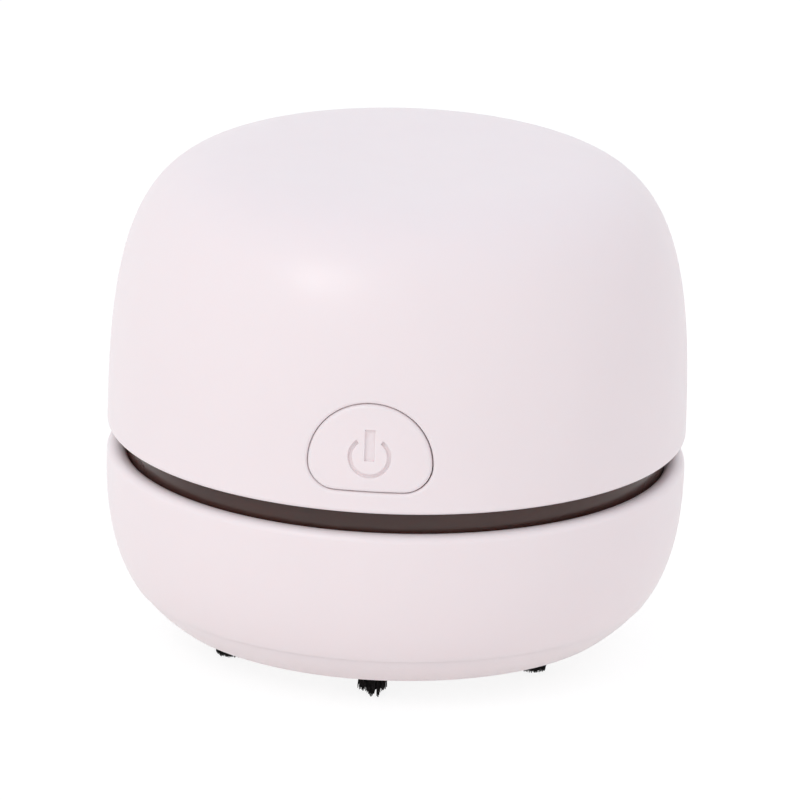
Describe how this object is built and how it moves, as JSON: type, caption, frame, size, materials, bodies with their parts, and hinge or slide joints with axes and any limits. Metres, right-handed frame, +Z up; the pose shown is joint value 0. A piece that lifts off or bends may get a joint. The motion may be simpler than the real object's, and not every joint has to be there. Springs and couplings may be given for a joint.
{
  "type": "desktop vacuum cleaner",
  "caption": "Round desk vacuum: dome with a flush push button over a twist-off dust bowl, lift-out pleated filter, centrifugal fan, and bristle tufts round the suction inlet.",
  "frame": {"origin": "on the vertical axis of both halves, in the plane of the desk that the bristle tufts stand on", "axes": "+Z up along the axis of the bowl, dome, inlet and impeller; the power button faces -Y and the charging port +Y"},
  "size_m": [0.086, 0.086, 0.0748],
  "materials": {
    "shell": "satin moulded plastic, very pale pink",
    "smoke_plastic": "glossy smoke-brown translucent plastic",
    "bristle": "black nylon bristle",
    "grey_plastic": "fine grain moulded plastic",
    "white_plastic": "fine grain moulded plastic",
    "black_plastic": "satin black plastic",
    "filter_paper": "folded filter fleece",
    "soft_seal": "matt soft seal",
    "screw_steel": "zinc-plated",
    "motor_steel": "bright plated sheet",
    "brass": "plain brass",
    "cell_wrap": "shrink wrap",
    "board": "solder mask",
    "light_pipe": "frosted light pipe",
    "lead_rubber": "wire insulation"
  },
  "bodies": {
    "cup": {"base_plate": "shell", "base_screws": "screw_steel", "brush_tuft_1": "bristle", "brush_tuft_2": "bristle", "brush_tuft_3": "bristle", "brush_tuft_4": "bristle", "brush_tuft_5": "bristle", "brush_tuft_6": "bristle", "inlet_tube": "smoke_plastic", "dust_bowl": "shell", "dust_collar": "smoke_plastic"},
    "seal": {"head_gasket": "soft_seal"},
    "basket": {"filter_basket": "grey_plastic"},
    "cartridge": {"filter_frame": "white_plastic", "filter_pleats": "filter_paper", "filter_gasket": "soft_seal"},
    "head": {"top_shell": "shell", "fan_housing": "white_plastic", "fan_cover": "grey_plastic", "fan_cover_screws": "screw_steel", "head_screws": "screw_steel", "motor_can": "motor_steel", "motor_end_cap": "black_plastic", "motor_terminals": "brass", "motor_bushing": "brass", "motor_screws": "screw_steel", "battery_cell": "cell_wrap", "battery_contacts": "motor_steel", "charge_board": "board", "charge_port": "motor_steel", "charge_lamp": "light_pipe", "board_screws": "screw_steel", "switch_board": "board", "switch_body": "black_plastic", "battery_leads": "lead_rubber", "motor_leads": "lead_rubber", "switch_leads": "lead_rubber"},
    "rotor": {"impeller": "grey_plastic", "motor_shaft": "screw_steel"},
    "button": {"power_button": "shell", "switch_plunger": "white_plastic"}
  },
  "joints": [
    {"name": "lock_twist", "type": "hinge", "parent": "cup", "child": "seal", "pos_m": [0, 0, 0.034], "axis": [0, 0, 1], "range_deg": [0, 22]},
    {"name": "upper_half_lift", "type": "slide", "parent": "seal", "child": "basket", "axis": [0, 0, 1], "range_m": [0, 0.045]},
    {"name": "filter_lift", "type": "slide", "parent": "basket", "child": "cartridge", "axis": [0, 0, 1], "range_m": [0, 0.03]},
    {"name": "head_lift", "type": "slide", "parent": "cartridge", "child": "head", "axis": [0, 0, 1], "range_m": [0, 0.03]},
    {"name": "impeller_spin", "type": "hinge", "parent": "head", "child": "rotor", "pos_m": [0, 0, 0.0434], "axis": [0, 0, 1], "continuous": true},
    {"name": "button_press", "type": "slide", "parent": "head", "child": "button", "axis": [0, 1, 0], "range_m": [0, 0.0008], "stiffness_N_per_m": 2000}
  ]
}
